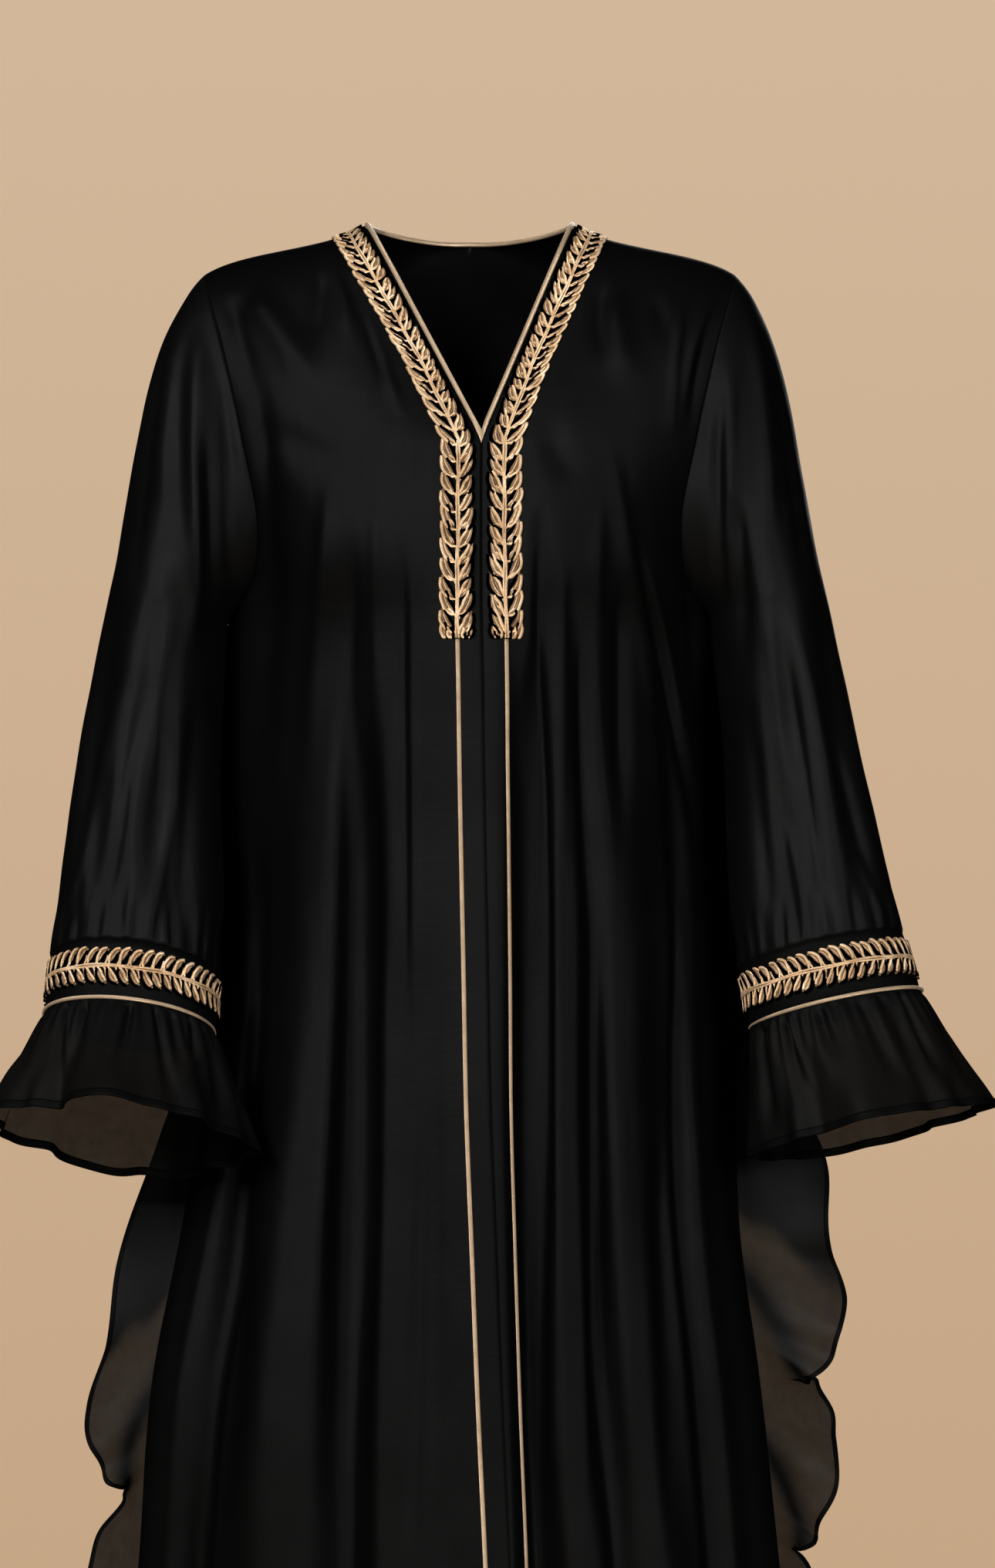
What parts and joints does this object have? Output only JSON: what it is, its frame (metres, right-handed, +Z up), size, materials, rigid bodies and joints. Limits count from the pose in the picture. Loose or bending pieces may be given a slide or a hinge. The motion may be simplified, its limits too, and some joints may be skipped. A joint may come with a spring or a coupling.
{
  "type": "abaya cloak",
  "caption": "Floor-length open-front black abaya held in its worn shape, with a V neck, leaf embroidery, gold piping, frilled cuffs and sheer side cascades.",
  "frame": {"origin": "midway between the two highest points of the shoulder seams, where the wearer's shoulders hold the garment up", "axes": "+Z up, towards the head; the front faces -Y; the wearer's left is at +X"},
  "size_m": [0.7254, 0.402, 1.4227],
  "materials": {
    "black_cloth": "soft-sheen black georgette",
    "sheer_cloth": "sheer black chiffon",
    "gold_embroidery": "gold metallic thread embroidery",
    "gold_piping": "gold satin piping"
  },
  "bodies": {
    "root": {"front_right": "black_cloth", "front_left": "black_cloth", "back": "black_cloth", "sleeve_right": "black_cloth", "sleeve_left": "black_cloth", "cuff_band_right": "black_cloth", "cuff_band_left": "black_cloth", "cuff_ruffle_right": "sheer_cloth", "cuff_ruffle_left": "sheer_cloth", "side_flounce_right": "sheer_cloth", "side_flounce_left": "sheer_cloth", "neck_piping": "gold_piping", "neck_trim_right": "gold_embroidery", "neck_trim_left": "gold_embroidery", "front_cord_right": "gold_piping", "front_cord_left": "gold_piping", "cuff_trim_right": "gold_embroidery", "cuff_trim_left": "gold_embroidery", "cuff_piping_right": "gold_piping", "cuff_piping_left": "gold_piping"}
  },
  "joints": []
}
